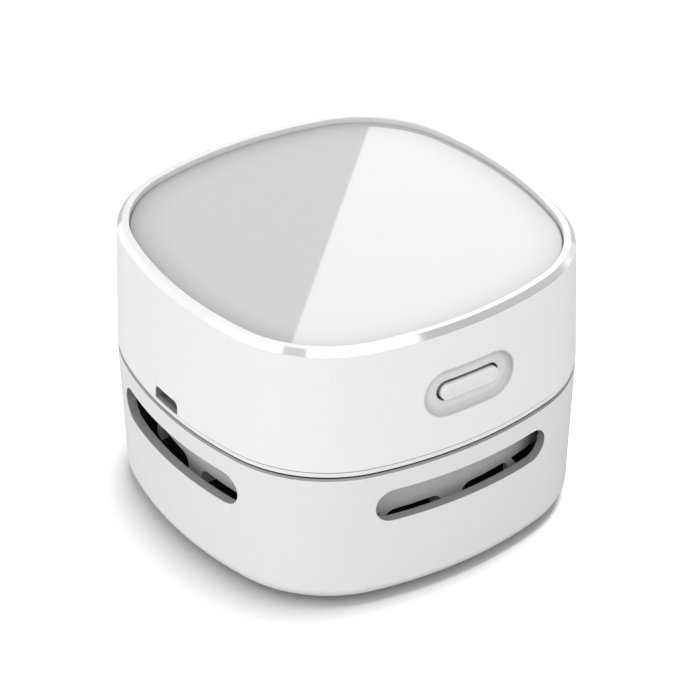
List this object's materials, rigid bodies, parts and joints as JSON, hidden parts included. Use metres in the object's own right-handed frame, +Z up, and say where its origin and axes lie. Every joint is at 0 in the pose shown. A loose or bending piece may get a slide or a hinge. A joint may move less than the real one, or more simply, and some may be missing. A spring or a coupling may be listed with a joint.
{
  "type": "desktop mini vacuum cleaner",
  "caption": "Small rounded-square desk vacuum: lift-off motor unit with rocker-shaped power button and charging notch, over a slotted dust tub with a lift-out filter and a brush-ringed mouth.",
  "frame": {"origin": "centre of the bounding box at the desk, under the foot pads", "axes": "+Z up; the power button is on the -Y side and the charging notch on the -X side"},
  "size_m": [0.0848, 0.0848, 0.06],
  "materials": {
    "shell_white": "fine satin moulded ABS",
    "lid_gloss": "polished acrylic",
    "rim_plate": "bright plated",
    "button_white": "satin moulded ABS",
    "inner_grey": "plain moulded ABS",
    "inner_black": "plain moulded ABS",
    "soft_black": "matt",
    "foot_rubber": "matt",
    "bristle": "drawn nylon",
    "filter_cloth": "woven mesh",
    "steel": "drawn and plated",
    "screw_steel": "zinc plated",
    "lamination": "stacked laminations",
    "magnet": "pressed ferrite",
    "copper": "enamelled wire",
    "brass": "stamped",
    "bronze": "sintered",
    "carbon": "pressed graphite",
    "cell_wrap": "shrink-wrapped",
    "nickel": "rolled strip",
    "board_green": "solder-masked laminate",
    "component": "moulded",
    "wire": "extruded insulation"
  },
  "bodies": {
    "base": {"lower_shell": "shell_white", "foot_pad_1": "foot_rubber", "foot_pad_2": "foot_rubber", "foot_pad_3": "foot_rubber", "foot_pad_4": "foot_rubber", "intake_nozzle": "inner_grey", "nozzle_screws": "screw_steel", "brush_carrier": "inner_black", "bristle_tufts": "bristle"},
    "filter_tray": {"filter_frame": "inner_black", "filter_mesh": "filter_cloth"},
    "motor_unit": {"chassis_plate": "shell_white", "seam_gasket": "soft_black", "air_guide": "inner_grey", "guide_screws": "screw_steel", "inlet_plate": "inner_grey", "inlet_screws": "screw_steel", "upper_shell": "shell_white", "shell_screws": "screw_steel", "trim_ring": "rim_plate", "top_panel": "lid_gloss", "motor_can": "steel", "motor_end_cap": "inner_black", "motor_magnets": "magnet", "front_bushing": "bronze", "rear_bushing": "bronze", "motor_terminals": "brass", "carbon_brushes": "carbon", "motor_screws": "screw_steel", "switch_board": "board_green", "tact_switch": "component", "battery_cell": "cell_wrap", "battery_cradle": "inner_grey", "battery_tabs": "nickel", "circuit_board": "board_green", "board_screws": "screw_steel", "board_components": "component", "usb_socket": "steel", "usb_tongue": "component", "motor_leads": "wire", "battery_leads": "wire", "switch_leads": "wire"},
    "rotor": {"impeller": "inner_black", "motor_shaft": "steel", "armature_core": "lamination", "armature_windings": "copper", "commutator": "copper"},
    "button": {"power_button": "button_white", "switch_plunger": "component"}
  },
  "joints": [
    {"name": "unit_lift", "type": "slide", "parent": "base", "child": "motor_unit", "axis": [0, 0, 1], "range_m": [0, 0.05]},
    {"name": "filter_lift", "type": "slide", "parent": "base", "child": "filter_tray", "axis": [0, 0, 1], "range_m": [0, 0.025]},
    {"name": "rotor_spin", "type": "hinge", "parent": "motor_unit", "child": "rotor", "pos_m": [0, 0, 0.03], "axis": [0, 0, 1], "continuous": true},
    {"name": "button_press", "type": "slide", "parent": "motor_unit", "child": "button", "axis": [0, 1, 0], "range_m": [0, 0.0008], "stiffness_N_per_m": 400, "springref_m": -0.0006}
  ],
  "couplings": [
    {"joint": "filter_lift", "follows": "unit_lift", "ratio": 0.5}
  ]
}
